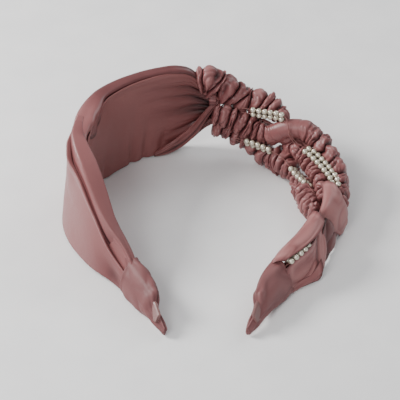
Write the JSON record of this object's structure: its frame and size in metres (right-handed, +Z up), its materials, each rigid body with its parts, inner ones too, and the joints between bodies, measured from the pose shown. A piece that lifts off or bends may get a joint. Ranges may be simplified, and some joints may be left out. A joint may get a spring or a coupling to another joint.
{
  "type": "knotted headband",
  "caption": "Sprung hoop headband: wide pleated satin panel on one side, braid of ruched satin strands with pearl strings on the other, satin sleeves on both tips.",
  "frame": {"origin": "middle of the band's box, on the surface that its lower edge rests on", "axes": "+Z up from the resting surface, the hoop's tips point to -Y, the crown is at +Y, the wide panel is on -X and the braid on +X"},
  "size_m": [0.1455, 0.1518, 0.053],
  "materials": {
    "satin": "dusty rose satin, soft sheen",
    "lining": "brownish rose satin lining, soft sheen",
    "binding": "wound rose thread",
    "pearl": "pearlised, glossy",
    "thread": "plain monofilament",
    "elastic": "plain, off-white",
    "hoop_plastic": "moulded, plain"
  },
  "bodies": {
    "wide_half": {"hoop_wide_half": "hoop_plastic", "wide_cover": "satin", "wide_lining": "lining", "wide_pleat_middle": "satin", "wide_pleat_edge": "satin", "lining_roll": "lining", "gather_binding": "binding", "crown_knot": "satin", "tip_sleeve_wide": "satin"},
    "braid_half": {"hoop_braid_half": "hoop_plastic", "hoop_wrap": "lining", "strand_upper": "satin", "elastic_upper": "elastic", "strand_middle": "satin", "elastic_middle": "elastic", "strand_lower": "satin", "elastic_lower": "elastic", "threads_lower": "thread", "pearls_lower": "pearl", "threads_upper": "thread", "pearls_upper": "pearl", "tail_outer": "satin", "tail_front": "satin", "tail_inner": "satin", "tail_lower": "satin", "tail_rear": "satin", "tip_sleeve_braid": "satin"}
  },
  "joints": [
    {"name": "crown_flex", "type": "hinge", "parent": "wide_half", "child": "braid_half", "pos_m": [0.00519, 0.07005, 0.02298], "axis": [0, 0, 1], "range_deg": [-6, 30], "stiffness_Nm_per_rad": 0.6}
  ]
}
